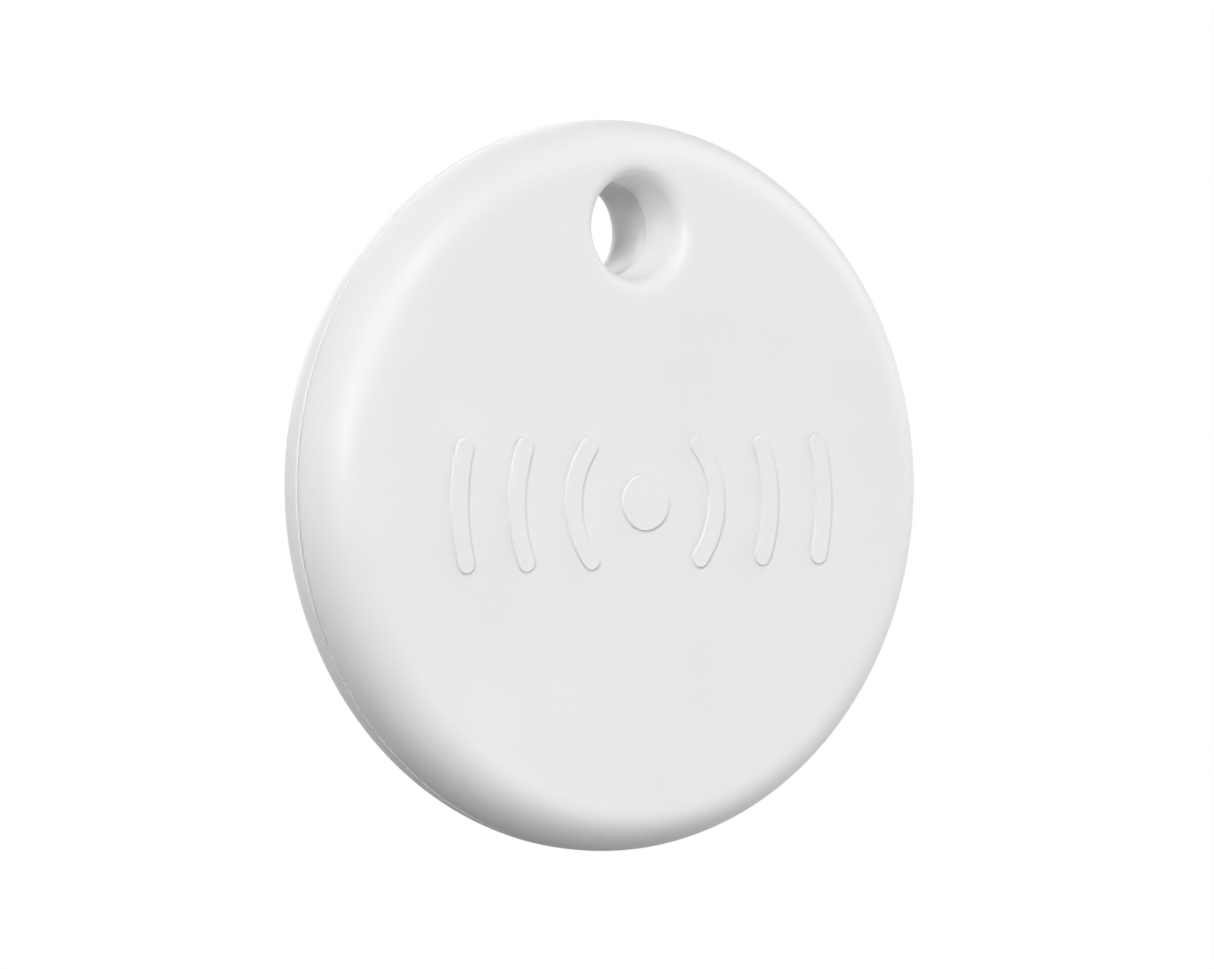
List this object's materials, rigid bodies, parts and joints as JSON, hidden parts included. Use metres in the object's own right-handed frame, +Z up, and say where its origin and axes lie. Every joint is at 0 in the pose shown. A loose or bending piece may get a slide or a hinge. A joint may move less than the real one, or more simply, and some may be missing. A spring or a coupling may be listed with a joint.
{
  "type": "item finder tag",
  "caption": "Flat round item-finder tag with a key-ring hole, a front pressed like a button, and a prise-off back over a coin cell, circuit board and piezo sounder.",
  "frame": {"origin": "on the axis of the key-ring hole, midway along the hole's straight wall", "axes": "+Z up with the disc on edge and the hole at the top, +Y from the pressed front face to the back, +X to the right seen from the front"},
  "size_m": [0.0388, 0.0076, 0.0388],
  "materials": {
    "case_plastic": "satin white injection-moulded polycarbonate with a very fine grain",
    "frame_plastic": "satin white moulded plastic",
    "gasket_rubber": "soft grey silicone",
    "board_laminate": "green solder mask over glass laminate",
    "copper_foil": "copper foil under clear mask",
    "gold_plating": "gold-plated pads",
    "chip_resin": "matt black moulding resin",
    "tin_can": "plain nickel-plated lid",
    "ferrite": "dark grey ferrite",
    "capacitor_ceramic": "tan ceramic",
    "resistor_black": "black glazed resistor body",
    "solder_tin": "bright tinned ends",
    "spring_gold": "gold-plated spring strip",
    "adhesive_film": "translucent amber adhesive film",
    "sounder_brass": "rolled brass",
    "sounder_ceramic": "cream piezo ceramic",
    "electrode_silver": "fired silver electrode",
    "plunger_plastic": "dark grey nylon",
    "dome_steel": "spring steel dome",
    "pad_foam": "black closed-cell foam",
    "cell_steel": "nickel-plated steel with a fine circular lathe grain",
    "cell_gasket": "thin nylon seal",
    "cell_cap_steel": "nickel-plated steel",
    "cell_lithium": "rolled lithium foil",
    "cell_separator": "non-woven felt",
    "cell_cathode": "pressed black powder pellet"
  },
  "bodies": {
    "core": {"inner_frame": "frame_plastic", "seam_gasket": "gasket_rubber", "hole_gasket": "gasket_rubber", "circuit_board": "board_laminate", "antenna_trace": "copper_foil", "test_pads": "gold_plating", "bluetooth_chip": "chip_resin", "main_crystal": "tin_can", "clock_crystal": "tin_can", "boost_inductor": "ferrite", "buzzer_driver": "chip_resin", "reservoir_capacitor": "capacitor_ceramic", "capacitors": "capacitor_ceramic", "resistors": "resistor_black", "chip_terminals": "solder_tin", "switch_base": "chip_resin", "switch_cover": "tin_can", "click_dome": "dome_steel", "piezo_springs": "spring_gold", "battery_minus_contact": "spring_gold", "battery_plus_contact": "spring_gold"},
    "front_cover": {"front_cover": "case_plastic", "piezo_adhesive": "adhesive_film", "piezo_disc": "sounder_brass", "piezo_ceramic": "sounder_ceramic", "piezo_electrode": "electrode_silver"},
    "switch_plunger": {"switch_plunger": "plunger_plastic"},
    "rear_cover": {"rear_cover": "case_plastic", "battery_pad": "pad_foam"},
    "battery": {"battery_can": "cell_steel", "battery_gasket": "cell_gasket", "battery_cap": "cell_cap_steel", "battery_anode": "cell_lithium", "battery_separator": "cell_separator", "battery_cathode": "cell_cathode"}
  },
  "joints": [
    {"name": "front_press", "type": "slide", "parent": "core", "child": "front_cover", "axis": [0, 1, 0], "range_m": [0, 0.00012], "stiffness_N_per_m": 12000},
    {"name": "plunger_press", "type": "slide", "parent": "core", "child": "switch_plunger", "axis": [0, 1, 0], "range_m": [0, 0.00012]},
    {"name": "rear_cover_off", "type": "slide", "parent": "core", "child": "rear_cover", "axis": [0, 1, 0], "range_m": [0, 0.012]},
    {"name": "battery_out", "type": "slide", "parent": "core", "child": "battery", "axis": [0, 1, 0], "range_m": [0, 0.0072]}
  ],
  "couplings": [
    {"joint": "plunger_press", "follows": "front_press", "ratio": 1},
    {"joint": "battery_out", "follows": "rear_cover_off", "ratio": 0.6}
  ]
}
